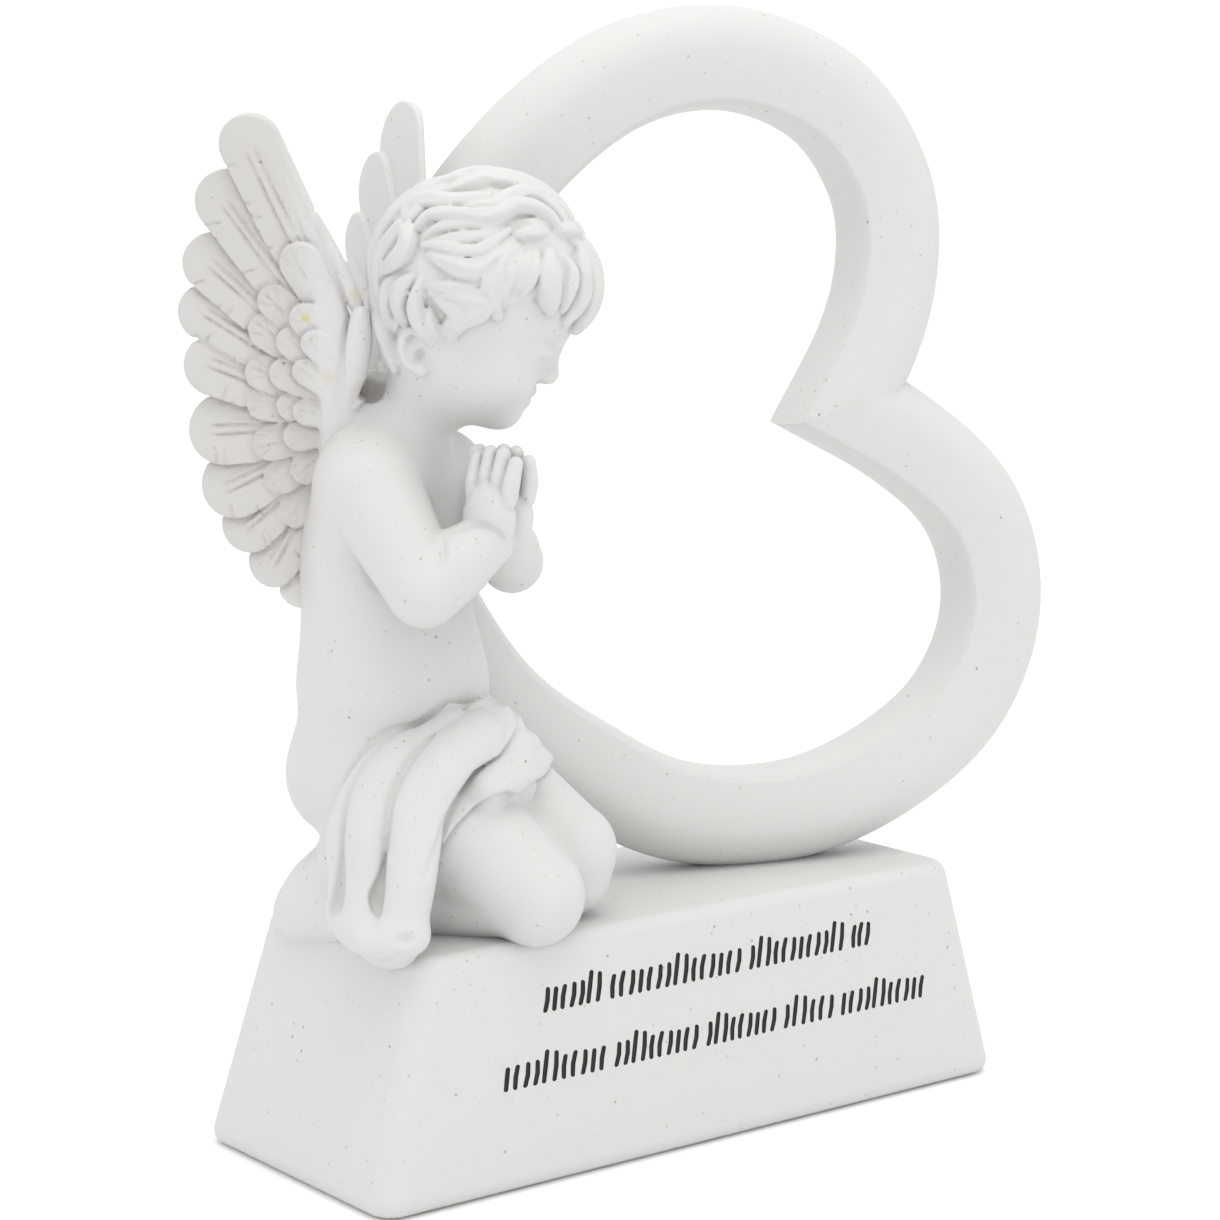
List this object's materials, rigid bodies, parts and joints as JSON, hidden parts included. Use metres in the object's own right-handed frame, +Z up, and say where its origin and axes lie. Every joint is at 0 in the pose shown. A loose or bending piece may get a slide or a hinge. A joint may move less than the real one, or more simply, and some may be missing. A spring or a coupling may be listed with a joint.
{
  "type": "angel memorial plaque",
  "caption": "White stone-resin grave ornament: a kneeling cherub prays beside an open heart on a tapered base with rows of engraved strokes.",
  "frame": {"origin": "centre of the base's underside", "axes": "+Z up, +X along the base towards the heart's free side, -Y the inscribed front"},
  "size_m": [0.1656, 0.0644, 0.1995],
  "materials": {
    "stone_resin": "matte cast stone resin with fine grey specks"
  },
  "bodies": {
    "root": {"memorial_plaque": "stone_resin"}
  },
  "joints": []
}
